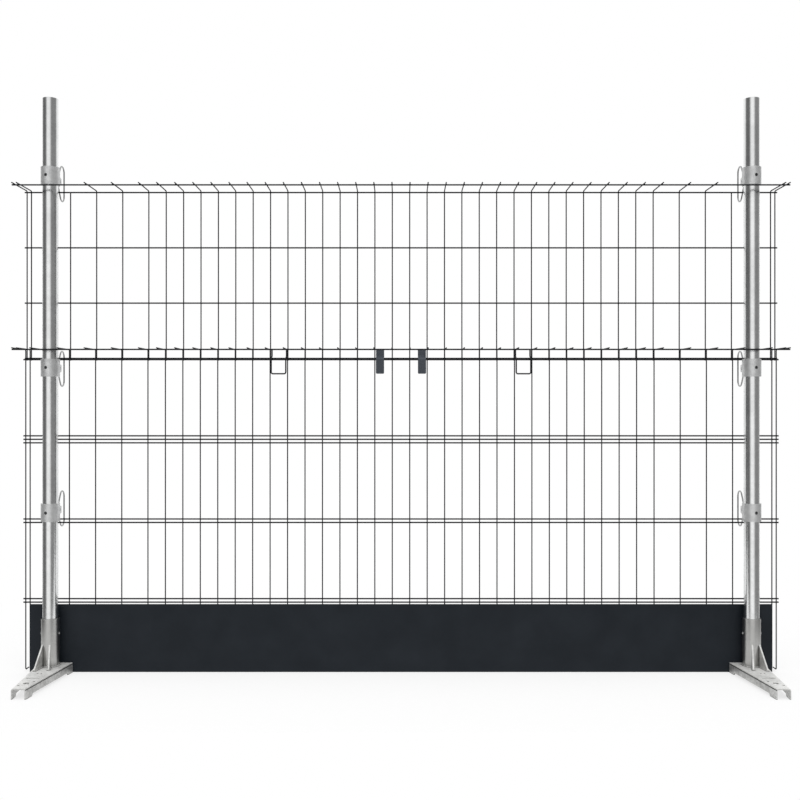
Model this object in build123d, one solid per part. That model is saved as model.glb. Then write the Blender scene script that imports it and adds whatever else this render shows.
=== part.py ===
from build123d import *
import os
from math import asin, atan2, cos, degrees, hypot, radians, sin, sqrt, tan

# Edge protection barrier for building sites. Two round posts stand in socketed feet and carry two
# welded mesh panels. Each post has three collars, and each collar has a sprung wire clip behind it.
# All lengths are in millimetres. X runs along the barrier, the bent panel edges and the long ends of
# the feet point to the front (-Y), and Z is up from the floor.

# Posts
post_spacing = 2383.0
post_diameter = 52.0
post_wall = 3.0
post_top = 1958.0
post_rim_chamfer = 0.8

# Feet: folded tapered channels with ground pads at both ends of their skirts
foot_front_reach = 270.0
foot_front_outer = 25.5
foot_front_inner = 21.0
foot_back_outer = 51.5
foot_back_inner = 65.0
foot_height = 34.0
foot_sheet = 4.0
foot_bend_radius = 7.0
foot_edge_radius = 1.5
foot_seam_drop = 2.5
foot_seam_height = 3.5
foot_seam_depth = 2.5
foot_front_pad = 36.0
foot_back_pad = 30.0
foot_arch_lift = 8.0
foot_arch_slope = 7.0
foot_back_gap = 2.0
anchor_hole_diameter = 18.0
anchor_hole_reach = 212.0
nail_hole_diameter = 8.0
nail_hole_aside = 17.0
nail_hole_along = 21.0
drain_hole_diameter = 6.0
drain_hole_spread = 12.0
drain_hole_reach = 100.0
bead_reach = 153.0
bead_length = 44.0
bead_width = 6.0
bead_height = 1.2

# Sockets and the gussets that brace them
socket_wall = 3.6
socket_clearance = 0.55
socket_top = 195.0
socket_rim_chamfer = 0.8
gusset_sheet = 5.0
gusset_top = 110.0
gusset_toe = 4.0
gusset_outer_angle = 9.0
gusset_outer_aside = 14.0
gusset_outer_reach = 81.0
gusset_inner_angle = 15.0
gusset_inner_aside = 0.0
gusset_inner_reach = 71.0

# Snap buttons: a leaf spring inside each post pushes two buttons out through post and socket
button_height = 143.5
button_diameter = 9.0
button_proud = 3.0
button_round = 2.5
button_flange_diameter = 14.0
button_flange = 2.0
button_tail_diameter = 4.0
button_tail_proud = 1.0
moving_clearance = 0.3
leaf_thickness = 1.2
leaf_width = 12.0
leaf_above = 16.0
leaf_below = 14.0
leaf_drop = 80.0
leaf_fold_radius = 5.0

# Collars: one bent strip round the post, its two ends run back as cheeks
collar_fit = 0.1
collar_wall = 5.0
collar_height = 60.0
cheek_length = 54.0
cheek_root_height = 44.0
cheek_end_height = 23.0
cheek_corner = 4.0
collar_screw_diameter = 11.0
collar_screw_angle = 10.0
collar_screw_sunk = 2.2
collar_screw_key = 6.0
collar_screw_key_depth = 1.8
fastener_fit = 0.05
clamp_rivet_diameter = 6.0
clamp_rivet_setback = 9.0
rivet_head_diameter = 11.0
rivet_head_height = 3.0
pin_head_rounding = 0.6
pivot_diameter = 6.0
pivot_setback = 40.0
pivot_head_height = 2.0

# Wire clips, hinged on the pivots between the cheeks
clip_wire = 5.0
clip_running_fit = 0.05
clip_side_clearance = 0.5
clip_depth = 62.4
clip_half_height = 61.0
clip_corner_radius = 20.0

# Mesh panels. Rails lie on the post side of the upright wires.
mesh_wire = 4.0
rail_wire = 5.0
weld_gap = 0.02
panel_gap = 0.3
panel_clearance = 3.0
panel_overhang = 104.5
rail_end = 6.0
end_wire_pitch = 15.0
post_flank_inner = 51.5
post_flank_outer = 38.5
coarse_pitch = 90.0
coarse_count = 3
fine_pitch = 60.0
front_rail_gap = 32.4
wire_tip = 16.0
wire_bend_radius = 6.0

# Lower panel and its toe board
toe_board_height = 234.0
toe_board_sheet = 1.5
toe_board_bend_radius = 3.0
toe_board_lip = 25.0
toe_rail_gap = 7.0
rail_pitch = 12.0
rail_group_gap = 261.5
lower_bend_rise = 34.5
wire_foot_height = 9.0
wire_foot_length = 27.0

# Upper panel, hung on the lower one
upper_rail_rise = 4.8
upper_rail_pitch = 190.5
upper_rail_count = 4
upper_bend_clear = 0.1
upper_wire_tail = 5.0

# Hooks of the upper panel: wire loops and flat tabs that bend over the lower panel's top rail
hook_wire = 5.0
hook_gap = 0.5
hook_seat_gap = 0.3
hook_above = 34.5
hook_below = 48.5
hook_corner_radius = 6.0
hook_cell = 7
tab_sheet = 4.0
tab_width = 28.0
tab_corner_radius = 4.0
tab_wire_gap = 2.0
tab_cell = 1

# Collar heights against the rails that they hold
low_collar_rise = 27.5
middle_collar_drop = 29.0
top_collar_rise = 44.2

# Sizes that follow from the ones above
post_x = post_spacing / 2
post_radius = post_diameter / 2
post_bore_radius = post_radius - post_wall
socket_bore_radius = post_radius + socket_clearance
socket_radius = socket_bore_radius + socket_wall
collar_bore_radius = post_radius + collar_fit
collar_radius = collar_bore_radius + collar_wall
cheek_gap = clip_wire + 2 * clip_side_clearance
pivot_y = collar_radius + pivot_setback
clip_back = pivot_y + clip_depth
wire_radius = mesh_wire / 2
rail_radius = rail_wire / 2
weld_step = wire_radius + rail_radius + weld_gap
lower_rail_y = collar_radius + panel_gap + rail_radius
lower_wire_y = lower_rail_y + weld_step
upper_rail_y = lower_wire_y + wire_radius + panel_clearance + rail_radius
upper_wire_y = upper_rail_y + weld_step
front_rail_y = -(collar_radius + front_rail_gap + rail_radius)
tip_y = front_rail_y - wire_tip
toe_board_y = lower_wire_y - wire_radius - toe_board_sheet
foot_back_y = toe_board_y - foot_back_gap
bottom_rails_z = toe_board_height + toe_rail_gap
middle_rails_z = bottom_rails_z + rail_pitch + rail_group_gap
triple_rails_z = middle_rails_z + rail_pitch + rail_group_gap
lower_top_z = triple_rails_z + 2 * rail_pitch + rail_group_gap
lower_bend_z = lower_top_z + lower_bend_rise
upper_bottom_z = lower_top_z + upper_rail_rise
upper_top_z = upper_bottom_z + (upper_rail_count - 1) * upper_rail_pitch
upper_bend_z = upper_top_z + upper_bend_clear + wire_bend_radius
rail_half_length = post_x + panel_overhang
collar_heights = {
    "low": middle_rails_z + rail_pitch + low_collar_rise,
    "middle": lower_top_z - middle_collar_drop,
    "top": upper_top_z + top_collar_rise,
}

# The model is drawn about the posts' axes, then moved so that its box is centred front to back
depth_shift = (foot_front_reach - clip_back - clip_wire / 2) / 2


def tube(outer_radius, bore_radius, bottom, top):
    """A round tube about the Z axis."""
    length = top - bottom
    align = (Align.CENTER, Align.CENTER, Align.MIN)
    wall = Cylinder(outer_radius, length, align=align) - Cylinder(bore_radius, length, align=align)
    return Pos(0, 0, bottom) * wall


def cross_pin(radius, length):
    """A plain cylinder along X, centred on the origin."""
    return Rot(0, 90, 0) * Cylinder(radius, length)


def section_at(path, radius):
    """A round wire section square to the start of a path."""
    return Plane(origin=path @ 0, z_dir=path % 0) * Circle(radius)


def bent_wire(points, radii, diameter):
    """A round wire along straight runs joined by tangent bends."""
    path = FilletPolyline(*points, radius=radii)
    return sweep(section_at(path, diameter / 2), path=path)


def rail(y, z):
    """A straight rail over the whole panel length."""
    return Pos(0, y, z) * cross_pin(rail_radius, 2 * rail_half_length)


# Feet

def skirt_distance(y, at_front, at_back, wall):
    """Distance of a skirt from the post's axis at a depth y, measured a wall's thickness inside it."""
    lean = atan2(at_back - at_front, foot_back_y + foot_front_reach)
    return at_front + (y + foot_front_reach) * tan(lean) - wall / cos(lean)


def foot_prism(wall, front, back, bottom, top, inner_radius, outer_radius):
    """A tapered block a wall's thickness inside the foot's outline, its two long upper edges rounded."""
    inner = [-skirt_distance(y, foot_front_inner, foot_back_inner, wall) for y in (front, back)]
    outer = [skirt_distance(y, foot_front_outer, foot_back_outer, wall) for y in (front, back)]
    outline = Polygon(
        (inner[0], front),
        (outer[0], front),
        (outer[1], back),
        (inner[1], back),
        align=None,
    )
    block = Pos(0, 0, bottom) * extrude(outline, amount=top - bottom)
    for end, radius in ((0, inner_radius), (-1, outer_radius)):
        upper = block.edges().group_by(Axis.Z)[-1].filter_by(lambda edge: edge.length > back - front)
        block = fillet(upper.sort_by(Axis.X)[end], radius)
    return block


def foot_seam():
    """Groove along the inner skirt, where it is let in under the top sheet."""
    length = foot_back_y + foot_front_reach
    lean = atan2(foot_back_inner - foot_front_inner, length)
    groove = Box(2 * foot_seam_depth, 2 * length, foot_seam_height, align=(Align.CENTER, Align.CENTER, Align.MAX))
    x = -(foot_front_inner + foot_back_inner) / 2
    y = (foot_back_y - foot_front_reach) / 2
    return Pos(x, y, foot_height - foot_seam_drop) * Rot(0, 0, degrees(lean)) * groove


def foot_plate():
    """Channel: top sheet folded down outside, skirt let in under it inside, arches, holes and a pressed bead."""
    front = -foot_front_reach
    past = foot_sheet
    shell = foot_prism(0, front, foot_back_y, 0, foot_height, foot_edge_radius, foot_bend_radius)
    hollow_top = foot_height - foot_sheet
    bend_inside = foot_bend_radius - foot_sheet
    shell -= foot_prism(
        foot_sheet, front - past, foot_back_y + past, -past, hollow_top, bend_inside, bend_inside
    )
    shell -= foot_seam()
    arch = Polygon(
        (front + foot_front_pad, -past),
        (foot_back_y - foot_back_pad, -past),
        (foot_back_y - foot_back_pad, 0),
        (foot_back_y - foot_back_pad - foot_arch_slope, foot_arch_lift),
        (front + foot_front_pad + foot_arch_slope, foot_arch_lift),
        (front + foot_front_pad, 0),
        align=None,
    )
    shell -= extrude(Plane.YZ * arch, amount=foot_back_inner + foot_back_outer, both=True)
    bead = extrude(SlotOverall(bead_length, bead_width), amount=bead_height)
    shell += Pos(0, -bead_reach, foot_height) * bead
    drill = 4 * foot_sheet
    holes = [Pos(0, -anchor_hole_reach) * Cylinder(anchor_hole_diameter / 2, drill)]
    for side in (-1, 1):
        x = side * drain_hole_spread / 2
        holes.append(Pos(x, -drain_hole_reach) * Cylinder(drain_hole_diameter / 2, drill))
        y = -anchor_hole_reach - side * nail_hole_along
        holes.append(Pos(side * nail_hole_aside, y) * Cylinder(nail_hole_diameter / 2, drill))
    for hole in holes:
        shell -= Pos(0, 0, foot_height) * hole
    return shell


def post_socket():
    """Upright tube welded on the foot, with two button holes."""
    holes = cross_pin(button_diameter / 2 + moving_clearance, 3 * socket_radius)
    body = tube(socket_radius, socket_bore_radius, foot_height, socket_top)
    rim = body.edges().filter_by(GeomType.CIRCLE).group_by(Axis.Z)[-1]
    body = chamfer(rim, socket_rim_chamfer)
    return body - Pos(0, 0, button_height) * holes


def gusset(angle, aside, reach):
    """Triangular plate from the socket forward, set aside from the post's axis and turned outwards."""
    seat = sqrt(socket_radius**2 - aside**2)
    root = seat - gusset_sheet
    profile = Polygon(
        (root, foot_height),
        (reach, foot_height),
        (reach, foot_height + gusset_toe),
        (seat, gusset_top),
        (root, gusset_top),
        align=None,
    )
    plate = extrude(Plane.XZ * profile, amount=gusset_sheet / 2, both=True)
    turned = Rot(0, 0, angle - 90) * Pos(0, aside) * plate
    core = Cylinder(socket_radius, 2 * gusset_top, align=(Align.CENTER, Align.CENTER, Align.MIN))
    return turned - core


def post_tube():
    """Round post, open at both ends, with two button holes."""
    body = tube(post_radius, post_bore_radius, foot_height, post_top)
    rim = body.edges().filter_by(GeomType.CIRCLE).group_by(Axis.Z)[-1]
    body = chamfer(rim, post_rim_chamfer)
    holes = cross_pin(button_diameter / 2 + moving_clearance, 3 * post_radius)
    return body - Pos(0, 0, button_height) * holes


# Snap buttons

flange_face_x = sqrt(post_bore_radius**2 - (button_flange_diameter / 2)**2) - moving_clearance
leaf_face_x = flange_face_x - button_flange - moving_clearance


def snap_button():
    """Button along +X: round nose through the walls, flange inside, riveted tail through the leaf."""
    nose_x = socket_radius + button_proud
    tail_x = leaf_face_x - leaf_thickness - button_tail_proud
    flange_x = flange_face_x - button_flange
    align = (Align.CENTER, Align.CENTER, Align.MIN)
    nose = Cylinder(button_diameter / 2, nose_x - flange_face_x, align=align)
    nose = fillet(nose.edges().group_by(Axis.Z)[-1], button_round)
    flange = Cylinder(button_flange_diameter / 2, button_flange, align=align)
    tail = Cylinder(button_tail_diameter / 2, flange_x - tail_x, align=align)
    body = Pos(0, 0, flange_face_x) * nose + Pos(0, 0, flange_x) * flange + Pos(0, 0, tail_x) * tail
    return Pos(0, 0, button_height) * Rot(0, 90, 0) * body


def snap_spring():
    """Folded leaf spring inside the post, with a hole for each button's tail."""
    leaf_x = leaf_face_x - leaf_thickness / 2
    fold_z = button_height - leaf_drop
    knee_z = button_height - leaf_below
    points = [
        (-leaf_x, 0, button_height + leaf_above),
        (-leaf_x, 0, knee_z),
        (-leaf_fold_radius, 0, fold_z),
        (leaf_fold_radius, 0, fold_z),
        (leaf_x, 0, knee_z),
        (leaf_x, 0, button_height + leaf_above),
    ]
    radii = [leaf_below, leaf_fold_radius / 2, leaf_fold_radius / 2, leaf_below]
    path = FilletPolyline(*points, radius=radii)
    section = Plane(origin=points[0], x_dir=(0, 1, 0), z_dir=(0, 0, -1))
    leaf = sweep(section * Rectangle(leaf_width, leaf_thickness), path=path)
    hole = cross_pin(button_tail_diameter / 2 + moving_clearance, 3 * leaf_x)
    return leaf - Pos(0, 0, button_height) * hole


# Collars, their fasteners and clips, all drawn about the collar's middle

def collar():
    """Strip bent round the post, with two cheeks behind it and a screw hole in front."""
    ring = Cylinder(collar_radius, collar_height) - Cylinder(collar_bore_radius, collar_height)
    cheek_root = (collar_bore_radius + collar_radius) / 2
    cheek_end = collar_radius + cheek_length
    profile = Polygon(
        (cheek_root, -cheek_root_height / 2),
        (collar_radius, -cheek_root_height / 2),
        (cheek_end, -cheek_end_height / 2),
        (cheek_end, cheek_end_height / 2),
        (collar_radius, cheek_root_height / 2),
        (cheek_root, cheek_root_height / 2),
        align=None,
    )
    profile = fillet(profile.vertices().group_by(Axis.X)[-1], cheek_corner)
    cheeks = extrude(Plane.YZ * profile, amount=cheek_gap / 2 + collar_wall, both=True)
    slot_end = cheek_end + collar_wall
    slot = Box(cheek_gap, slot_end, 2 * collar_height, align=(Align.CENTER, Align.MIN, Align.CENTER))
    body = ring + cheeks - slot
    pin_length = 4 * (cheek_gap + collar_wall)
    rivet_y = collar_radius + clamp_rivet_setback
    body -= Pos(0, rivet_y) * cross_pin(clamp_rivet_diameter / 2 + fastener_fit, pin_length)
    body -= Pos(0, pivot_y) * cross_pin(pivot_diameter / 2 + fastener_fit, pin_length)
    return body - screw_frame() * Cylinder(collar_screw_diameter / 2 + fastener_fit, 4 * collar_wall)


def screw_frame():
    """Place of the collar screw: on the ring's outer face, pointing outwards."""
    return Rot(0, 0, collar_screw_angle) * Pos(0, -collar_radius) * Rot(90, 0, 0)


def collar_screw():
    """Socket set screw that holds the collar on the post."""
    length = collar_wall + collar_fit - collar_screw_sunk - fastener_fit
    align = (Align.CENTER, Align.CENTER, Align.MAX)
    body = Cylinder(collar_screw_diameter / 2, length, align=align)
    key_radius = collar_screw_key / 2 / cos(radians(30))
    key = extrude(RegularPolygon(key_radius, 6), amount=-collar_screw_key_depth)
    return screw_frame() * Pos(0, 0, -collar_screw_sunk) * (body - key)


def headed_pin(diameter, head_height):
    """Pin along X through both cheeks, with a rounded head on each side."""
    cheek_face = cheek_gap / 2 + collar_wall
    body = cross_pin(diameter / 2, 2 * cheek_face)
    head = Cylinder(rivet_head_diameter / 2, head_height, align=(Align.CENTER, Align.CENTER, Align.MIN))
    rim = head.edges().group_by(Axis.Z)[-1]
    head = fillet(rim, pin_head_rounding * head_height)
    for side in (-1, 1):
        body += Pos(side * cheek_face, 0, 0) * Rot(0, side * 90, 0) * head
    return body


def clamp_rivet():
    """Rivet that draws the two cheeks together behind the post."""
    return Pos(0, collar_radius + clamp_rivet_setback) * headed_pin(clamp_rivet_diameter, rivet_head_height)


def clip_pivot():
    """Pin that the wire clip swings on."""
    return Pos(0, pivot_y) * headed_pin(pivot_diameter, pivot_head_height)


def wire_clip():
    """Closed three-cornered wire loop whose narrow front corner wraps the pivot."""
    eye = pivot_diameter / 2 + clip_running_fit + clip_wire / 2
    corner_y = clip_depth - clip_corner_radius
    corner_z = clip_half_height - clip_corner_radius
    lead = atan2(corner_z, corner_y) + asin((clip_corner_radius - eye) / hypot(corner_y, corner_z))
    half_turn = (lead + radians(90)) / 2
    eye_top = (-eye * sin(lead), eye * cos(lead))
    leg_top = (corner_y - clip_corner_radius * sin(lead), corner_z + clip_corner_radius * cos(lead))
    crown = (
        corner_y + clip_corner_radius * cos(half_turn),
        corner_z + clip_corner_radius * sin(half_turn),
    )
    back_top = (clip_depth, corner_z)

    def below(point):
        return (point[0], -point[1])

    with BuildLine(Plane.YZ) as loop:
        Line(back_top, below(back_top))
        ThreePointArc(below(back_top), below(crown), below(leg_top))
        Line(below(leg_top), below(eye_top))
        ThreePointArc(below(eye_top), (-eye, 0), eye_top)
        Line(eye_top, leg_top)
        ThreePointArc(leg_top, crown, back_top)
    start = Plane(origin=(0, clip_depth, corner_z), z_dir=(0, 0, -1))
    clip = sweep(start * Circle(clip_wire / 2), path=loop.wire())
    return Pos(0, pivot_y) * clip


# Mesh panels

def fine_wire_places():
    """X of the closely spaced wires, filling the panel's middle at about the fine pitch."""
    edge = post_x - post_flank_inner - coarse_count * coarse_pitch
    count = round(2 * edge / fine_pitch)
    return [-edge + 2 * edge * step / count for step in range(count + 1)]


def coarse_wire_places():
    """Distance from the middle of the widely spaced wires on the inner side of a post."""
    flank = post_x - post_flank_inner
    return [flank - step * coarse_pitch for step in range(coarse_count)]


def end_wire_places():
    """Distance from the middle of the two wires at a panel end."""
    last = rail_half_length - rail_end
    return [last - end_wire_pitch, last]


def both_ends(places):
    """The same distances to the left and to the right of the middle."""
    return [-place for place in places] + list(places)


def wire_group(wire, places):
    """Copies of one upright wire, side by side."""
    return Compound([Pos(x, 0, 0) * wire for x in places])


def lower_wires():
    """Upright wires of the lower panel: bent forward at the top and back at the foot."""
    points = [
        (0, tip_y, lower_bend_z),
        (0, lower_wire_y, lower_bend_z),
        (0, lower_wire_y, wire_foot_height),
        (0, lower_wire_y + wire_foot_length, wire_foot_height),
    ]
    wire = bent_wire(points, [wire_bend_radius, wire_bend_radius], mesh_wire)
    beside_posts = coarse_wire_places() + [post_x + post_flank_outer]
    return wire_group(wire, fine_wire_places() + both_ends(beside_posts + end_wire_places()))


def upper_wires():
    """Upright wires of the upper panel that are bent forward at the top."""
    points = [
        (0, tip_y, upper_bend_z),
        (0, upper_wire_y, upper_bend_z),
        (0, upper_wire_y, upper_bottom_z - rail_radius - upper_wire_tail),
    ]
    wire = bent_wire(points, [wire_bend_radius], mesh_wire)
    coarse = coarse_wire_places()[1:]
    return wire_group(wire, fine_wire_places() + both_ends(coarse + end_wire_places()))


def upper_short_wires(side):
    """The two wires beside a post, which end at the top rail so that the post has room."""
    bottom = upper_bottom_z - rail_radius - upper_wire_tail
    length = upper_top_z + rail_radius - bottom
    wire = Cylinder(wire_radius, length, align=(Align.CENTER, Align.CENTER, Align.MIN))
    flanks = [side * (post_x - post_flank_inner), side * (post_x + post_flank_outer)]
    return wire_group(Pos(0, upper_wire_y, bottom) * wire, flanks)


def rail_rows(y, first_z, count, pitch):
    """Rails one above another."""
    return Compound([rail(y, first_z + row * pitch) for row in range(count)])


def front_rail(bend_z):
    """Rail along the tips of the bent wires, on their underside."""
    return rail(front_rail_y, bend_z - weld_step)


def toe_board():
    """Sheet in front of the upright wires, with a lip folded back along the floor."""
    back = toe_board_y + toe_board_sheet
    profile = Polygon(
        (toe_board_y, 0),
        (back + toe_board_lip, 0),
        (back + toe_board_lip, toe_board_sheet),
        (back, toe_board_sheet),
        (back, toe_board_height),
        (toe_board_y, toe_board_height),
        align=None,
    )
    crease = profile.vertices().sort_by_distance((back, toe_board_sheet))[0]
    profile = fillet(crease, toe_board_bend_radius - toe_board_sheet)
    heel = profile.vertices().sort_by_distance((toe_board_y, 0))[0]
    profile = fillet(heel, toe_board_bend_radius)
    half_length = end_wire_places()[0]
    return extrude(Plane.YZ * profile, amount=half_length, both=True)


# Hooks

def joggle(thickness):
    """A hook's slope over both rails: height of its upper bend, depth, height and radius of its lower bend.

    The slope lies on the upper panel's bottom rail and on the lower panel's top rail.
    """
    lower_wrap = rail_radius + hook_seat_gap + thickness / 2
    upper_wrap = rail_radius + weld_gap + thickness / 2
    span = hypot(upper_rail_y - lower_rail_y, upper_rail_rise)
    slope = atan2(upper_rail_rise, upper_rail_y - lower_rail_y) + asin((upper_wrap - lower_wrap) / span)
    seat_y = lower_rail_y - lower_wrap * sin(slope)
    seat_z = lower_top_z + lower_wrap * cos(slope)
    lower_y = lower_rail_y - lower_wrap
    upper_z = seat_z + (upper_wire_y - seat_y) * tan(slope)
    lower_z = seat_z + (lower_y - seat_y) * tan(slope)
    return upper_z, lower_y, lower_z, lower_wrap


def hook_loop(side):
    """Wire loop in one mesh cell, welded to the upper panel and hung over the lower one."""
    places = [x for x in fine_wire_places() if x > 0]
    left, right = places[hook_cell - 1], places[hook_cell]
    half_width = (right - left) / 2 - wire_radius - hook_gap - hook_wire / 2
    upper_z, lower_y, lower_z, wrap = joggle(hook_wire)
    leg = [
        (upper_wire_y, lower_top_z + hook_above),
        (upper_wire_y, upper_z),
        (lower_y, lower_z),
        (lower_y, lower_top_z - hook_below),
    ]
    points = [(-half_width, y, z) for y, z in leg] + [(half_width, y, z) for y, z in reversed(leg)]
    corner = hook_corner_radius
    radii = [corner, wrap, corner, corner, wrap, corner]
    return Pos(side * (left + right) / 2, 0, 0) * bent_wire(points, radii, hook_wire)


def hook_tab(side):
    """Flat bar beside a wire, welded to the upper panel and hung over the lower one."""
    places = [x for x in fine_wire_places() if x > 0]
    x = side * (places[tab_cell] - wire_radius - tab_wire_gap - tab_width / 2)
    upper_z, lower_y, lower_z, wrap = joggle(tab_sheet)
    points = [
        (x, upper_wire_y, lower_top_z + hook_above),
        (x, upper_wire_y, upper_z),
        (x, lower_y, lower_z),
        (x, lower_y, lower_top_z - hook_below),
    ]
    path = FilletPolyline(*points, radius=[hook_corner_radius, wrap])
    section = Plane(origin=points[0], x_dir=(1, 0, 0), z_dir=(0, 0, -1))
    bar = sweep(section * Rectangle(tab_width, tab_sheet), path=path)
    return fillet(bar.edges().filter_by(Axis.Y).group_by(Axis.Z)[0], tab_corner_radius)


# Assembly

def at_post(piece, side):
    """A piece drawn about the right post's axis, at the post on the given side."""
    if side < 0:
        piece = mirror(piece, about=Plane.YZ)
    return Pos(side * post_x, 0, 0) * piece


def at_collars(piece, side):
    """Copies of a piece at the three collars of a post."""
    return Compound([Pos(0, 0, z) * at_post(piece, side) for z in collar_heights.values()])


def post_nodes(name, side):
    """Every piece of one post, by node name."""
    nodes = {
        "foot_plate": at_post(foot_plate(), side),
        "post_socket": at_post(post_socket(), side),
        "gusset_outer": at_post(gusset(gusset_outer_angle, gusset_outer_aside, gusset_outer_reach), side),
        "gusset_inner": at_post(gusset(-gusset_inner_angle, -gusset_inner_aside, gusset_inner_reach), side),
        "post_tube": at_post(post_tube(), side),
        "snap_spring": at_post(snap_spring(), side),
        "snap_button_outer": at_post(snap_button(), side),
        "snap_button_inner": at_post(mirror(snap_button(), about=Plane.YZ), side),
        "collar_screws": at_collars(collar_screw(), side),
        "clamp_rivets": at_collars(clamp_rivet(), side),
        "clip_pivots": at_collars(clip_pivot(), side),
    }
    for level, z in collar_heights.items():
        nodes[f"collar_{level}"] = Pos(0, 0, z) * at_post(collar(), side)
        nodes[f"wire_clip_{level}"] = Pos(0, 0, z) * at_post(wire_clip(), side)
    return {f"{piece}_{name}": shape for piece, shape in nodes.items()}


def panel_nodes():
    """Every piece of the two panels, by node name."""
    middle_z = upper_bottom_z + upper_rail_pitch
    middle_count = upper_rail_count - 2
    return {
        "lower_wires": lower_wires(),
        "lower_top_rail": rail(lower_rail_y, lower_top_z),
        "lower_front_rail": front_rail(lower_bend_z),
        "lower_triple_rails": rail_rows(lower_rail_y, triple_rails_z, 3, rail_pitch),
        "lower_middle_rails": rail_rows(lower_rail_y, middle_rails_z, 2, rail_pitch),
        "lower_bottom_rails": rail_rows(lower_rail_y, bottom_rails_z, 2, rail_pitch),
        "toe_board": toe_board(),
        "upper_wires": upper_wires(),
        "upper_short_wires_left": upper_short_wires(-1),
        "upper_short_wires_right": upper_short_wires(1),
        "upper_top_rail": rail(upper_rail_y, upper_top_z),
        "upper_front_rail": front_rail(upper_bend_z),
        "upper_middle_rails": rail_rows(upper_rail_y, middle_z, middle_count, upper_rail_pitch),
        "upper_bottom_rail": rail(upper_rail_y, upper_bottom_z),
        "hook_loop_left": hook_loop(-1),
        "hook_loop_right": hook_loop(1),
        "hook_tab_left": hook_tab(-1),
        "hook_tab_right": hook_tab(1),
    }


def main():
    os.makedirs("parts", exist_ok=True)
    nodes = {**post_nodes("left", -1), **post_nodes("right", 1), **panel_nodes()}
    for name, shape in nodes.items():
        export_step(Pos(0, depth_shift, 0) * shape, f"parts/{name}.step")


main()
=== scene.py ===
"""Edge protection barrier: finishes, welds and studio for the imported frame."""

import math

import bmesh
import bpy
from bpy.props import FloatProperty, FloatVectorProperty, PointerProperty
from mathutils import Matrix, Vector
from mathutils.bvhtree import BVHTree


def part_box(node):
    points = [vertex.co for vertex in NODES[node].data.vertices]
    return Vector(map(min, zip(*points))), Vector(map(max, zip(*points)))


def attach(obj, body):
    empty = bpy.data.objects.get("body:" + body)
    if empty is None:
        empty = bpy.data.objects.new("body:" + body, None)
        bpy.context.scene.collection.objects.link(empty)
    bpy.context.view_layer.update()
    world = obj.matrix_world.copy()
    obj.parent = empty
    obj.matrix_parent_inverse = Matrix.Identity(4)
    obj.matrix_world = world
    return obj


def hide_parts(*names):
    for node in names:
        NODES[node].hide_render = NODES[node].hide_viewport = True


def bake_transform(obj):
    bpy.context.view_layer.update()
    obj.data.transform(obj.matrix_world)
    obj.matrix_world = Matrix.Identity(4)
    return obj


bl_info = {
    "name": "Edge Protection Barrier",
    "version": (1, 0, 0),
    "blender": (4, 5, 0),
    "location": "View3D > Sidebar > Barrier",
    "description": "Dresses a site edge barrier: zinc posts and feet, coated mesh panels and toe board",
    "category": "Object",
}

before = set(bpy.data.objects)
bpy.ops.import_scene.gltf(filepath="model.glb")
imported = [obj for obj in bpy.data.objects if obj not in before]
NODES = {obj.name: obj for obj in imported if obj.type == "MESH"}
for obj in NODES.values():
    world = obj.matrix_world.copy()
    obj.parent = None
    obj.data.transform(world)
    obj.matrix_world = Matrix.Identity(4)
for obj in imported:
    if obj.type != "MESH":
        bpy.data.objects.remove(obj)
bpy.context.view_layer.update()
SIDES = ("left", "right")
LEVELS = ("low", "middle", "top")
PLACES = ("outer", "inner")
STATIC_BODY = "barrier"
MM = 0.001
PANEL_WIRES = {
    "lower": ("lower_wires",),
    "upper": ("upper_wires", "upper_short_wires_left", "upper_short_wires_right"),
}
PANEL_RAILS = {
    "lower": ("top_rail", "front_rail", "triple_rails", "middle_rails", "bottom_rails"),
    "upper": ("top_rail", "front_rail", "middle_rails", "bottom_rail"),
}

# Weld beads: sides of their section, points along one ripple, and lift of their axis as a share of the radius
SEAM_SIDES = 8
RIPPLE_POINTS = 4
SEAM_LIFT = 0.3

# Spot welds: spread along wire and rail, and slack to a rail that counts as touching
SPOT_SPREAD = 1.3
SPOT_SLACK = 0.5 * MM

# Points nearer than this lie in one plane, or are one point
FLAT = 0.1 * MM
SAME = 0.001 * MM

# Zinc on a tube: length of its drawn lines against their width, and roughness of dull flakes against bright
LINE_STRETCH = 50
DULL_FLAKES = 1.2

# Faded powder coat: its gain, the dust on it, and how far its roughness strays
FADE = 1.25
DUST = 0.004
STRAY = 0.08


def linear(code):
    """Scene-linear red, green and blue of an sRGB hex colour."""
    shares = [int(code[i:i + 2], 16) / 255 for i in (1, 3, 5)]
    return tuple(s / 12.92 if s <= 0.04045 else ((s + 0.055) / 1.055) ** 2.4 for s in shares)


# Places read from the frame


def middle_of(node):
    """Centre of a node's box."""
    low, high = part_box(node)
    return (low + high) / 2


def clusters(node, axis, gap=3 * MM):
    """Centres of a node's separate solids along one axis, where more than a gap lies between them."""
    values = sorted({round(v.co[axis], 6) for v in NODES[node].data.vertices})
    starts = [values[0]]
    ends = []
    for before, after in zip(values, values[1:]):
        if after - before > gap:
            ends.append(before)
            starts.append(after)
    ends.append(values[-1])
    return [(start + end) / 2 for start, end in zip(starts, ends)]


def surface_tree(node):
    """Search tree of a node's surface."""
    data = NODES[node].data
    corners = [vert.co for vert in data.vertices]
    return BVHTree.FromPolygons(corners, [face.vertices for face in data.polygons])


def rail_points(node, places):
    """Points on the axes of a node's rails at given places along X, each with a weld's reach from there."""
    low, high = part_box(node)
    reach = (high.y - low.y) / 2 + SPOT_SLACK
    depth = (low.y + high.y) / 2
    return [(Vector((x, depth, z)), reach) for z in clusters(node, 2) for x in places]


# Settings that a user would change


def colour(name, description, code):
    """A colour setting with an sRGB hex default."""
    return FloatVectorProperty(
        name=name, description=description, subtype="COLOR", size=3, min=0, max=1, default=linear(code)
    )


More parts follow.
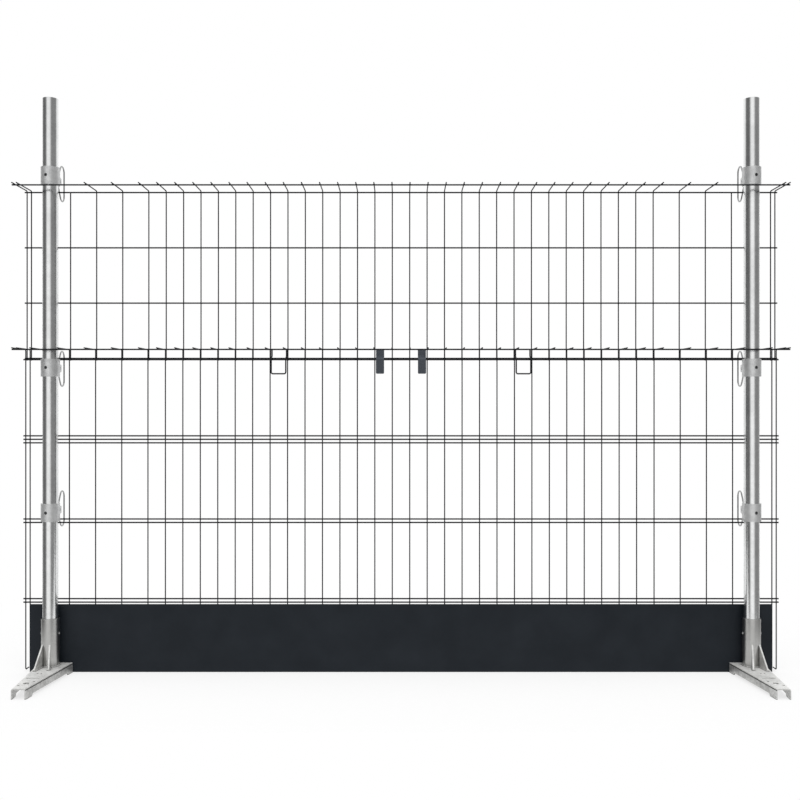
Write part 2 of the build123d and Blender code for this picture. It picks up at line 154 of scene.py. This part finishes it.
def length(name, description, default):
    """A length setting in metres."""
    return FloatProperty(name=name, description=description, default=default, unit="LENGTH", precision=4)


def angle(name, description, degrees):
    """An angle setting with a default in degrees."""
    return FloatProperty(name=name, description=description, default=math.radians(degrees), subtype="ANGLE")


def factor(name, description, default):
    """A plain number setting of zero or more."""
    return FloatProperty(name=name, description=description, default=default, min=0)


class BarrierColours(bpy.types.PropertyGroup):
    """Colours of the barrier's finishes."""

    zinc_light: colour("Light zinc", "Fresh spangles of the galvanised posts", "#f0f1f1")
    zinc_dark: colour("Dark zinc", "Dull spangles of the galvanised posts", "#dedfdf")
    # Light plate: upward faces lean to it, as painted light from above
    plate_light: colour("Light plate", "Scuffed tops of the dipped feet and gussets", "#f0f0ee")
    # Dark plate and gusset: corners darken to 0.3 of them, as painted shade
    plate_dark: colour("Dark plate", "Dull patches of the dipped feet", "#b0b0ae")
    gusset: colour("Gusset", "Dull patches of the gussets and sockets", "#b8b8b6")
    collar: colour("Collar zinc", "Zinc-flake coat of the collars", "#dfe0e0")
    fastener: colour("Plated fasteners", "Zinc plating of rivets, pivots and buttons", "#b0b1b2")
    # Screw colour: real black oxide, and also painted shade in the sunk screw holes
    screw: colour("Black screws", "Black oxide of the collar screws", "#4a4b4c")
    spring: colour("Spring steel", "Drawn steel of the clips and snap springs", "#b4b5b5")
    mesh: colour("Mesh coat", "Anthracite powder coat of wires and rails", "#1f2023")
    board: colour("Toe board coat", "Near-black powder coat of the toe board", "#1d2228")
    tab: colour("Tab coat", "Blue-grey powder coat of the flat hooks", "#454a51")


class BarrierSizes(bpy.types.PropertyGroup):
    """Sizes of the welds."""

    seam_radius: length("Weld seam", "Radius of the weld beads on the feet", 2.6 * MM)
    seam_ripple: length("Weld ripple", "Height of the ripples along a bead", 0.35 * MM)
    seam_pitch: length("Ripple pitch", "Length of one ripple along a bead", 3.5 * MM)
    spot_radius: length("Spot weld", "Radius of the welds where wires cross", 2.3 * MM)


class BarrierStage(bpy.types.PropertyGroup):
    """Camera, light and floor. Bearings run from the front, positive to the right."""

    eye_height: length("Eye height", "Height of the camera over the floor", 0.935)
    eye_distance: length("Eye distance", "Camera's distance in front of the posts' axes", 3.282)
    lens: FloatProperty(
        name="Lens", description="Focal length on a 36 mm sensor", default=43.46, unit="CAMERA"
    )
    shift: FloatProperty(name="Shift", description="Sideways lens shift of the picture", default=-0.00125)
    fill: factor("Fill", "Even light on matt faces from all round", 0.5)
    key: factor("Key", "Strength of the overhead lamp", 1.6)
    key_spread: angle("Key spread", "Angle that the overhead lamp fills, for soft shadows", 70)
    key_tilt: angle("Key tilt", "Tilt of the overhead lamp to the front", 25)
    left_wall: factor("Left wall", "Brightness of the studio's left side in reflections", 0.15)
    right_wall: factor("Right wall", "Brightness of the studio's right side in reflections", 0.25)
    front_from: angle("Front from", "Bearing where the white front begins", -26)
    front_to: angle("Front to", "Bearing where the white front ends", 9)
    back_from: angle("Back from", "Bearing to both sides where the white back begins", 126)
    wall_blend: angle("Wall blend", "Angle in which a wall turns white", 24)
    ceiling_from: factor("Ceiling from", "Rise of a ray, as a sine, where the white ceiling starts", 0.5)
    ceiling_to: factor("Ceiling to", "Rise of a ray, as a sine, where it is all ceiling", 0.8)
    floor_width: length("Floor width", "Width of the floor", 3.6)
    floor_front: length("Floor front", "Reach of the floor in front of the origin", 0.5)
    floor_back: length("Floor back", "Reach of the floor behind the origin", 6.0)
    floor_glow: factor("Floor glow", "Floor's own brightness where it shows", 0.7)
    floor_shade: factor("Floor shade", "Share of the light on the floor that shows, with its shadows", 0.32)
    floor_paint: factor("Floor paint", "Share of the light that the floor throws on to the barrier", 0.6)


# Shader nodes


def add_node(tree, kind, inputs=None, **settings):
    """Adds one node, applies its settings and sets or links its inputs."""
    node = tree.nodes.new(kind)
    for name, value in settings.items():
        setattr(node, name, value)
    for socket, value in (inputs or {}).items():
        if isinstance(value, bpy.types.NodeSocket):
            tree.links.new(value, node.inputs[socket])
        else:
            node.inputs[socket].default_value = value
    return node


def start_material(name):
    """A new material with an empty tree, and its Object coordinates."""
    material = bpy.data.materials.new(name)
    material.use_nodes = True
    tree = material.node_tree
    tree.nodes.clear()
    return material, tree, add_node(tree, "ShaderNodeTexCoord").outputs["Object"]


def close_material(tree, shader):
    """Sends a shader to the material's surface."""
    add_node(tree, "ShaderNodeOutputMaterial", {"Surface": shader})


def close_with_coat(tree, inputs):
    """Gives the material one Principled shader."""
    close_material(tree, add_node(tree, "ShaderNodeBsdfPrincipled", inputs).outputs[0])


def per_metre(size_mm):
    """Texture scale at which a pattern repeats about every size_mm."""
    return 1 / (size_mm * MM)


def rgba(values):
    """A colour with full alpha."""
    return (*values, 1.0)


def grey(level):
    """A grey of that brightness with full alpha."""
    return (level, level, level, 1.0)


def darker(values, share):
    """A colour with that share of its brightness."""
    return tuple(share * value for value in values)


def clouds(tree, place, size_mm, detail, distortion=0.0):
    """A cloudy pattern of the given size, from 0 to 1."""
    inputs = {"Vector": place, "Scale": per_metre(size_mm), "Detail": detail, "Distortion": distortion}
    return add_node(tree, "ShaderNodeTexNoise", inputs).outputs["Fac"]


def spangles(tree, place, size_mm):
    """Crystals of zinc of the given size, each with its own value from 0 to 1."""
    cells = add_node(tree, "ShaderNodeTexVoronoi", {"Vector": place, "Scale": per_metre(size_mm)})
    return add_node(tree, "ShaderNodeSeparateColor", {"Color": cells.outputs["Color"]}).outputs[0]


def remap(tree, value, source=(0, 1), target=(0, 1)):
    """A value moved from one span to another, held at its ends."""
    inputs = {
        "Value": value,
        "From Min": source[0],
        "From Max": source[1],
        "To Min": target[0],
        "To Max": target[1],
    }
    return add_node(tree, "ShaderNodeMapRange", inputs).outputs[0]


def weighted_sum(tree, value, weight, rest):
    """A value times its weight, added to the rest."""
    inputs = {0: value, 1: weight, 2: rest}
    return add_node(tree, "ShaderNodeMath", inputs, operation="MULTIPLY_ADD").outputs[0]


def mix_colours(tree, share, first, second):
    """The first colour where the share is 0, the second where it is 1."""
    return add_node(tree, "ShaderNodeMix", {0: share, 6: first, 7: second}, data_type="RGBA").outputs[2]


def mix_shaders(tree, share, first, second):
    """The first shader where the share is 0, the second where it is 1."""
    return add_node(tree, "ShaderNodeMixShader", {0: share, 1: first, 2: second}).outputs[0]


def relief(tree, height, strength, depth_mm):
    """Normals of a surface with a pattern's relief."""
    inputs = {"Strength": strength, "Distance": depth_mm * MM, "Height": height}
    return add_node(tree, "ShaderNodeBump", inputs).outputs[0]


# Materials


def galvanised_tube(name, light, dark, rough):
    """Hot-dipped welded tube, drawn to size: soft flakes of zinc and fine lines along the tube."""
    material, tree, place = start_material(name)
    stretch = {"Vector": place, "Scale": (1, 1, 1 / LINE_STRETCH)}
    drawn = add_node(tree, "ShaderNodeMapping", stretch).outputs[0]
    lines = clouds(tree, drawn, size_mm=3, detail=3)
    flake = spangles(tree, place, size_mm=9)
    mottle = weighted_sum(tree, flake, weight=0.2, rest=clouds(tree, place, size_mm=70, detail=4))
    fresh = remap(tree, mottle, source=(0.35, 0.85))
    dull = remap(tree, flake, target=(rough, DULL_FLAKES * rough))
    close_with_coat(tree, {
        "Base Color": mix_colours(tree, fresh, rgba(dark), rgba(light)),
        "Metallic": 1.0,
        "Roughness": weighted_sum(tree, lines, weight=0.08, rest=dull),
        "Normal": relief(tree, lines, strength=0.04, depth_mm=0.2),
    })
    return material


def galvanised_plate(name, light, dull, upright_metal, top_metal=0.15):
    """Hot-dipped plate: cloudy zinc, more metallic on upright faces, painted light on top, painted shade in
    corners.
    """
    material, tree, place = start_material(name)
    grain = clouds(tree, place, size_mm=4, detail=5)
    flake = spangles(tree, place, size_mm=7)
    facing = add_node(tree, "ShaderNodeNewGeometry").outputs["Normal"]
    upward = add_node(tree, "ShaderNodeSeparateXYZ", {0: facing}).outputs["Z"]
    mottle = weighted_sum(tree, flake, weight=0.3, rest=clouds(tree, place, size_mm=45, detail=4))
    # Upward faces lean to the light colour as painted light from above, on top of the random mottle
    mottle_and_painted_top_light = remap(tree, weighted_sum(tree, upward, weight=0.45, rest=mottle), source=(0.35, 1.2))
    zinc = mix_colours(tree, mottle_and_painted_top_light, rgba(dull), rgba(light))
    # Painted shade: corners, seams and hole rims darken to 0.3 of the dull colour by ambient occlusion
    corner_occlusion = add_node(tree, "ShaderNodeAmbientOcclusion", {"Distance": 5 * MM}, samples=8).outputs["AO"]
    out_of_painted_corner_shade = remap(tree, corner_occlusion, source=(0.35, 0.95))
    close_with_coat(tree, {
        "Base Color": mix_colours(tree, out_of_painted_corner_shade, rgba(darker(dull, share=0.3)), zinc),
        "Metallic": remap(tree, upward, target=(upright_metal, top_metal)),
        "Roughness": remap(tree, grain, target=(0.36, 0.5)),
        "Normal": relief(tree, grain, strength=0.25, depth_mm=0.3),
    })
    return material


def zinc_flake_strip(base):
    """Bent strip with a zinc-flake coat: smooth, pale and matt, with faint handling marks."""
    material, tree, place = start_material("zinc_flake_strip")
    grain = clouds(tree, place, size_mm=2, detail=3)
    marks = clouds(tree, place, size_mm=18, detail=5)
    worn = remap(tree, marks, source=(0.4, 0.75))
    close_with_coat(tree, {
        "Base Color": mix_colours(tree, worn, rgba(base), rgba(darker(base, share=0.8))),
        "Metallic": 0.6,
        "Roughness": remap(tree, marks, target=(0.4, 0.5)),
        "Normal": relief(tree, grain, strength=0.15, depth_mm=0.15),
    })
    return material


def plated_steel(name, base, scratch_mm):
    """Zinc-plated steel: bright, with hairline scratches in all directions."""
    material, tree, place = start_material(name)
    hairs = clouds(tree, place, scratch_mm, detail=6, distortion=1.5)
    close_with_coat(tree, {
        "Base Color": mix_colours(tree, hairs, rgba(base), rgba(darker(base, share=0.78))),
        "Metallic": 1.0,
        "Roughness": remap(tree, hairs, target=(0.22, 0.48)),
        "Normal": relief(tree, hairs, strength=0.1, depth_mm=0.1),
    })
    return material


def powder_coat(name, base, peel_mm, rough, sheen):
    """Baked powder coat: an even colour that fades in hazy patches, with orange peel and a low sheen."""
    material, tree, place = start_material(name)
    peel = clouds(tree, place, peel_mm, detail=2)
    haze = clouds(tree, place, size_mm=120, detail=5)
    patches = remap(tree, haze, source=(0.35, 0.75))
    faded = tuple(FADE * value + DUST for value in base)
    close_with_coat(tree, {
        "Base Color": mix_colours(tree, patches, rgba(base), rgba(faded)),
        "Roughness": remap(tree, haze, target=(rough - STRAY, rough + STRAY)),
        "IOR": 1.5,
        "Specular IOR Level": sheen,
        "Normal": relief(tree, peel, strength=0.12, depth_mm=0.15),
    })
    return material


# Pieces


def dress(material, *names):
    """Gives CAD nodes a finish."""
    for name in names:
        NODES[name].data.materials.clear()
        NODES[name].data.materials.append(material)


def add_object(name, mesh, material):
    """Turns a bmesh into an object of the scene."""
    data = bpy.data.meshes.new(name)
    mesh.to_mesh(data)
    mesh.free()
    data.materials.append(material)
    thing = bpy.data.objects.new(name, data)
    bpy.context.scene.collection.objects.link(thing)
    return thing


def add_welds(name, mesh, material):
    """Turns a bmesh of welds into a smooth piece on the standing body."""
    for face in mesh.faces:
        face.smooth = True
    piece = add_object(name, mesh, material)
    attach(piece, STATIC_BODY)


def base_line(gusset, post, socket_radius):
    """Where a gusset stands: its line on the foot from socket to toe, and half its thickness aside."""
    points = [vert.co for vert in NODES[gusset].data.vertices]
    floor = min(point.z for point in points)
    base = {point.to_tuple(5) for point in points if point.z - floor < FLAT}
    outwards = sorted(base, key=lambda point: (Vector(point) - post).xy.length)
    toes = [Vector(point) for point in outwards[-2:]]
    toe = (toes[0] + toes[1]) / 2
    aside = (toes[1] - toes[0]) / 2
    along = Vector((-aside.y, aside.x, 0)).normalized()
    if along.dot(toe - post) < 0:
        along.negate()
    reach = (toe - post).xy
    across = reach.dot(aside.xy.normalized())
    root = toe - along * (reach.dot(along.xy) - math.sqrt(socket_radius**2 - across**2))
    return root, toe, aside


def rippled(vert, spine, phase, sizes):
    """Moves a point of a bead in or out from its spine, as the ripples of a hand weld do."""
    swell = 1 + sizes.seam_ripple / sizes.seam_radius * math.sin(phase)
    vert.co = spine + swell * (vert.co - spine)


def seam_section(mesh, place, sizes):
    """The round section of a bead, with its edges."""
    ring = bmesh.ops.create_circle(mesh, segments=SEAM_SIDES, radius=sizes.seam_radius, matrix=place)
    return ring["verts"] + list({edge for vert in ring["verts"] for edge in vert.link_edges})


def weld_ring(mesh, centre, radius, sizes):
    """A bead right round the foot of a tube."""
    ripples = round(2 * math.pi * radius / sizes.seam_pitch)
    place = Matrix.Translation(centre + Vector((radius, 0, 0))) @ Matrix.Rotation(math.pi / 2, 4, "X")
    bmesh.ops.spin(
        mesh,
        geom=seam_section(mesh, place, sizes),
        cent=centre,
        axis=(0, 0, 1),
        angle=2 * math.pi,
        steps=RIPPLE_POINTS * ripples,
        use_merge=True,
    )
    for vert in mesh.verts:
        out = Vector((vert.co.x - centre.x, vert.co.y - centre.y, 0))
        rippled(vert, centre + radius * out.normalized(), ripples * math.atan2(out.y, out.x), sizes)


def weld_bead(mesh, start, end, sizes):
    """A straight bead with closed ends."""
    along = end - start
    ripples = round(along.length / sizes.seam_pitch)
    steps = RIPPLE_POINTS * ripples
    place = Matrix.Translation(start) @ along.to_track_quat("Z", "Y").to_matrix().to_4x4()
    older = set(mesh.verts)
    bmesh.ops.spin(
        mesh,
        geom=seam_section(mesh, place, sizes),
        cent=start,
        axis=(0, 0, 1),
        dvec=along / steps,
        angle=0,
        steps=steps,
    )
    for vert in mesh.verts:
        if vert not in older:
            share = (vert.co - start).dot(along) / along.length_squared
            rippled(vert, start + share * along, 2 * math.pi * ripples * share, sizes)
    ends = [edge for edge in mesh.edges if edge.is_boundary]
    bmesh.ops.holes_fill(mesh, edges=ends, sides=SEAM_SIDES)


def spring_leg(name, leaf, button, material):
    """The half of a leaf spring on one button's side, between its fold and the button's flange."""
    fold = middle_of(leaf)
    fold.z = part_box(leaf)[0].z
    mesh = bmesh.new()
    mesh.from_mesh(NODES[leaf].data)
    bmesh.ops.remove_doubles(mesh, verts=mesh.verts, dist=SAME)
    bmesh.ops.bisect_plane(
        mesh,
        geom=[*mesh.verts, *mesh.edges, *mesh.faces],
        plane_co=fold,
        plane_no=(middle_of(button).x - fold.x, 0, 0),
        clear_inner=True,
    )
    bmesh.ops.holes_fill(mesh, edges=[edge for edge in mesh.edges if edge.is_boundary])
    leg = add_object(name, mesh, material)
    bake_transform(leg)
    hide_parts(leaf)


class BARRIER_OT_posts(bpy.types.Operator):
    """Give the post tubes their galvanised finish"""

    bl_idname = "barrier.posts"
    bl_label = "Posts"

    def execute(self, context):
        colours = context.scene.barrier_colours
        finish = galvanised_tube("galvanised_post", colours.zinc_light, colours.zinc_dark, rough=0.15)
        dress(finish, *(f"post_tube_{side}" for side in SIDES))
        return {"FINISHED"}


class BARRIER_OT_feet(bpy.types.Operator):
    """Give the feet, sockets and gussets their dipped finish"""

    bl_idname = "barrier.feet"
    bl_label = "Feet"

    def execute(self, context):
        colours = context.scene.barrier_colours
        light = colours.plate_light
        pressed = galvanised_plate("galvanised_plate", light, colours.plate_dark, upright_metal=0.75)
        cut = galvanised_plate("galvanised_gusset", light, colours.gusset, upright_metal=0.6)
        tube = galvanised_tube("galvanised_socket", colours.plate_dark, colours.gusset, rough=0.24)
        for side in SIDES:
            dress(pressed, f"foot_plate_{side}")
            dress(cut, *(f"gusset_{place}_{side}" for place in PLACES))
            dress(tube, f"post_socket_{side}")
        return {"FINISHED"}


class BARRIER_OT_foot_welds(bpy.types.Operator):
    """Weld the sockets and gussets to the feet"""

    bl_idname = "barrier.foot_welds"
    bl_label = "Foot welds"

    def execute(self, context):
        sizes = context.scene.barrier_sizes
        finish = bpy.data.materials["galvanised_plate"]
        lift = Vector((0, 0, SEAM_LIFT * sizes.seam_radius))
        for side in SIDES:
            low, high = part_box(f"post_socket_{side}")
            radius = (high.x - low.x) / 2
            post = Vector(((low.x + high.x) / 2, (low.y + high.y) / 2, low.z))
            mesh = bmesh.new()
            weld_ring(mesh, post + lift, radius + lift.z, sizes)
            for place in PLACES:
                root, toe, aside = base_line(f"gusset_{place}_{side}", post, radius)
                for face in (aside, -aside):
                    weld_bead(mesh, root + face + lift, toe + face + lift, sizes)
            bmesh.ops.recalc_face_normals(mesh, faces=mesh.faces)
            add_welds(f"foot_welds_{side}", mesh, finish)
        return {"FINISHED"}


class BARRIER_OT_collars(bpy.types.Operator):
    """Give the collars their zinc-flake coat"""

    bl_idname = "barrier.collars"
    bl_label = "Collars"

    def execute(self, context):
        finish = zinc_flake_strip(context.scene.barrier_colours.collar)
        dress(finish, *(f"collar_{level}_{side}" for side in SIDES for level in LEVELS))
        return {"FINISHED"}


class BARRIER_OT_fasteners(bpy.types.Operator):
    """Give rivets, pivots and snap buttons their plating, and the collar screws black oxide"""

    bl_idname = "barrier.fasteners"
    bl_label = "Fasteners"

    def execute(self, context):
        colours = context.scene.barrier_colours
        finish = plated_steel("plated_fasteners", colours.fastener, scratch_mm=3)
        for piece in ("clamp_rivets", "clip_pivots", "snap_button_outer", "snap_button_inner"):
            dress(finish, *(f"{piece}_{side}" for side in SIDES))
        # Black oxide on the collar screws, also painted shade in their sunk holes
        oxide = powder_coat("black_oxide_and_hole_shade", colours.screw, peel_mm=2, rough=0.4, sheen=0.4)
        dress(oxide, *(f"collar_screws_{side}" for side in SIDES))
        return {"FINISHED"}


class BARRIER_OT_clips(bpy.types.Operator):
    """Give the wire clips their drawn finish"""

    bl_idname = "barrier.clips"
    bl_label = "Wire clips"

    def execute(self, context):
        finish = plated_steel("drawn_spring_wire", context.scene.barrier_colours.spring, scratch_mm=2)
        dress(finish, *(f"wire_clip_{level}_{side}" for side in SIDES for level in LEVELS))
        return {"FINISHED"}


class BARRIER_OT_snap_springs(bpy.types.Operator):
    """Split each leaf spring into two legs, one on each button's side"""

    bl_idname = "barrier.snap_springs"
    bl_label = "Snap springs"

    def execute(self, context):
        finish = bpy.data.materials["drawn_spring_wire"]
        for side in SIDES:
            for place in PLACES:
                button = f"snap_button_{place}_{side}"
                spring_leg(f"spring_leg_{place}_{side}", f"snap_spring_{side}", button, finish)
        return {"FINISHED"}


class BARRIER_OT_mesh_panels(bpy.types.Operator):
    """Give the wires, rails and hook loops their powder coat"""

    bl_idname = "barrier.mesh_panels"
    bl_label = "Mesh panels"

    def execute(self, context):
        coat = context.scene.barrier_colours.mesh
        finish = powder_coat("mesh_powder_coat", coat, peel_mm=1.2, rough=0.5, sheen=0.15)
        dress(finish, *(name for name in NODES if name.startswith(("lower_", "upper_", "hook_loop"))))
        return {"FINISHED"}


class BARRIER_OT_mesh_welds(bpy.types.Operator):
    """Put a spot weld wherever a wire touches a rail"""

    bl_idname = "barrier.mesh_welds"
    bl_label = "Mesh welds"

    def execute(self, context):
        radius = context.scene.barrier_sizes.spot_radius
        spread = Matrix.Diagonal((SPOT_SPREAD, 1, SPOT_SPREAD, 1))
        mesh = bmesh.new()
        for panel, wire_nodes in PANEL_WIRES.items():
            for wires in wire_nodes:
                tree = surface_tree(wires)
                for rail in PANEL_RAILS[panel]:
                    for point, reach in rail_points(f"{panel}_{rail}", clusters(wires, 0)):
                        touch, _, _, gap = tree.find_nearest(point)
                        if gap < reach:
                            place = Matrix.Translation(touch) @ spread
                            bmesh.ops.create_icosphere(mesh, subdivisions=1, radius=radius, matrix=place)
        add_welds("mesh_spot_welds", mesh, bpy.data.materials["mesh_powder_coat"])
        return {"FINISHED"}


class BARRIER_OT_toe_board(bpy.types.Operator):
    """Give the toe board its powder coat"""

    bl_idname = "barrier.toe_board"
    bl_label = "Toe board"

    def execute(self, context):
        coat = context.scene.barrier_colours.board
        dress(powder_coat("board_powder_coat", coat, peel_mm=1.5, rough=0.42, sheen=0.15), "toe_board")
        return {"FINISHED"}


class BARRIER_OT_hook_tabs(bpy.types.Operator):
    """Give the flat hooks their powder coat"""

    bl_idname = "barrier.hook_tabs"
    bl_label = "Hook tabs"

    def execute(self, context):
        coat = context.scene.barrier_colours.tab
        finish = powder_coat("tab_powder_coat", coat, peel_mm=1.5, rough=0.5, sheen=0.3)
        dress(finish, *(f"hook_tab_{side}" for side in SIDES))
        return {"FINISHED"}


# Stage


def ray_share(tree, *kinds):
    """One for rays of any of the given kinds, zero for others."""
    rays = add_node(tree, "ShaderNodeLightPath").outputs
    share = rays[kinds[0]]
    for kind in kinds[1:]:
        share = add_node(tree, "ShaderNodeMath", {0: share, 1: rays[kind]}, operation="MAXIMUM").outputs[0]
    return share


def wall_level(tree, settings):
    """Brightness of the studio in reflections: white, but for a grey wall on each side up to the ceiling."""
    way = add_node(tree, "ShaderNodeTexCoord").outputs["Generated"]
    axes = add_node(tree, "ShaderNodeSeparateXYZ", {0: way}).outputs
    ahead = add_node(tree, "ShaderNodeMath", {0: axes["Y"], 1: -1.0}, operation="MULTIPLY").outputs[0]
    bearing = add_node(tree, "ShaderNodeMath", {0: axes["X"], 1: ahead}, operation="ARCTAN2").outputs[0]
    turn = remap(tree, bearing, source=(-math.pi, math.pi))
    walls = add_node(tree, "ShaderNodeValToRGB", {"Fac": turn})
    blend = settings.wall_blend
    edges = (
        (-settings.back_from, 1.0),
        (-settings.back_from + blend, settings.left_wall),
        (settings.front_from - blend, settings.left_wall),
        (settings.front_from, 1.0),
        (settings.front_to, 1.0),
        (settings.front_to + blend, settings.right_wall),
        (settings.back_from - blend, settings.right_wall),
        (settings.back_from, 1.0),
    )
    stops = walls.color_ramp.elements
    while len(stops) < len(edges):
        stops.new(0.5)
    for stop, (place, level) in zip(stops, edges):
        stop.position = 0.5 + place / (2 * math.pi)
        stop.color = grey(level)
    ceiling = remap(tree, axes["Z"], source=(settings.ceiling_from, settings.ceiling_to))
    return add_node(tree, "ShaderNodeMix", {0: ceiling, 2: walls.outputs["Color"], 3: 1.0}).outputs[0]


def white_light(tree, strength):
    """A white background of that strength."""
    return add_node(tree, "ShaderNodeBackground", {"Color": grey(1.0), "Strength": strength}).outputs[0]


def studio_world(settings):
    """White to the camera, a white room with grey sides in reflections, and even light on matt faces."""
    world = bpy.data.worlds.new("studio")
    world.use_nodes = True
    tree = world.node_tree
    tree.nodes.clear()
    even = white_light(tree, settings.fill)
    room = white_light(tree, wall_level(tree, settings))
    plain = white_light(tree, 1.0)
    mirrored = ray_share(tree, "Is Glossy Ray", "Is Transmission Ray")
    lit = mix_shaders(tree, mirrored, even, room)
    shown = mix_shaders(tree, ray_share(tree, "Is Camera Ray"), lit, plain)
    add_node(tree, "ShaderNodeOutputWorld", {"Surface": shown})
    return world


def floor_paint(settings):
    """Matt paint: white with a faint shadow where it shows, and plain grey to the light it throws back."""
    material, tree, _ = start_material("floor_paint")
    paint = add_node(tree, "ShaderNodeBsdfDiffuse", {"Color": grey(settings.floor_paint)}).outputs[0]
    shade = add_node(tree, "ShaderNodeBsdfDiffuse", {"Color": grey(settings.floor_shade)}).outputs[0]
    glow = add_node(tree, "ShaderNodeEmission", {"Strength": settings.floor_glow}).outputs[0]
    shown = add_node(tree, "ShaderNodeAddShader", {0: shade, 1: glow}).outputs[0]
    seen = ray_share(tree, "Is Camera Ray", "Is Glossy Ray", "Is Transmission Ray")
    close_material(tree, mix_shaders(tree, seen, paint, shown))
    return material


def add_floor(settings):
    """A flat floor that reaches further behind the barrier than in front."""
    mesh = bmesh.new()
    size = Matrix.Diagonal((settings.floor_width, settings.floor_front + settings.floor_back, 1, 1))
    place = Matrix.Translation((0, (settings.floor_back - settings.floor_front) / 2, 0))
    bmesh.ops.create_grid(mesh, x_segments=1, y_segments=1, size=0.5, matrix=place @ size)
    add_object("floor", mesh, floor_paint(settings))


def add_sun(settings):
    """A broad lamp overhead, slightly in front."""
    data = bpy.data.lights.new("soft_sun", "SUN")
    data.energy = settings.key
    data.angle = settings.key_spread
    lamp = bpy.data.objects.new("soft_sun", data)
    lamp.rotation_euler = (settings.key_tilt, 0, 0)
    lamp.visible_glossy = False
    bpy.context.scene.collection.objects.link(lamp)


def add_camera(settings):
    """The photo's camera: level, in front of the posts."""
    data = bpy.data.cameras.new("camera")
    data.lens = settings.lens
    data.shift_x = settings.shift
    camera = bpy.data.objects.new("camera", data)
    camera.location = (0, middle_of("post_tube_left").y - settings.eye_distance, settings.eye_height)
    camera.rotation_euler = (math.pi / 2, 0, 0)
    bpy.context.scene.collection.objects.link(camera)
    bpy.context.scene.camera = camera


class BARRIER_OT_stage(bpy.types.Operator):
    """Set up the floor, light and camera"""

    bl_idname = "barrier.stage"
    bl_label = "Stage"

    def execute(self, context):
        settings = context.scene.barrier_stage
        context.scene.view_settings.view_transform = "Standard"
        context.scene.world = studio_world(settings)
        add_floor(settings)
        add_sun(settings)
        add_camera(settings)
        return {"FINISHED"}


# Add-on

OPERATORS = (
    BARRIER_OT_stage,
    BARRIER_OT_posts,
    BARRIER_OT_feet,
    BARRIER_OT_foot_welds,
    BARRIER_OT_collars,
    BARRIER_OT_fasteners,
    BARRIER_OT_clips,
    BARRIER_OT_snap_springs,
    BARRIER_OT_mesh_panels,
    BARRIER_OT_mesh_welds,
    BARRIER_OT_toe_board,
    BARRIER_OT_hook_tabs,
)
GROUPS = {
    "barrier_colours": BarrierColours,
    "barrier_sizes": BarrierSizes,
    "barrier_stage": BarrierStage,
}


class BARRIER_PT_sidebar(bpy.types.Panel):
    """Steps and settings of the barrier"""

    bl_idname = "BARRIER_PT_sidebar"
    bl_label = "Edge barrier"
    bl_space_type = "VIEW_3D"
    bl_region_type = "UI"
    bl_category = "Barrier"

    def draw(self, context):
        for operator in OPERATORS:
            self.layout.operator(operator.bl_idname)
        for group, kind in GROUPS.items():
            for name in kind.__annotations__:
                self.layout.prop(getattr(context.scene, group), name)


def register():
    for cls in (*GROUPS.values(), *OPERATORS, BARRIER_PT_sidebar):
        bpy.utils.register_class(cls)
    for name, kind in GROUPS.items():
        setattr(bpy.types.Scene, name, PointerProperty(type=kind))


def unregister():
    for name in GROUPS:
        delattr(bpy.types.Scene, name)
    for cls in (BARRIER_PT_sidebar, *reversed(OPERATORS), *GROUPS.values()):
        bpy.utils.unregister_class(cls)


def main():
    register()
    bpy.ops.barrier.stage()
    bpy.ops.barrier.posts()
    bpy.ops.barrier.feet()
    bpy.ops.barrier.foot_welds()
    bpy.ops.barrier.collars()
    bpy.ops.barrier.fasteners()
    bpy.ops.barrier.clips()
    bpy.ops.barrier.snap_springs()
    bpy.ops.barrier.mesh_panels()
    bpy.ops.barrier.mesh_welds()
    bpy.ops.barrier.toe_board()
    bpy.ops.barrier.hook_tabs()


if __name__ == "__main__":
    main()
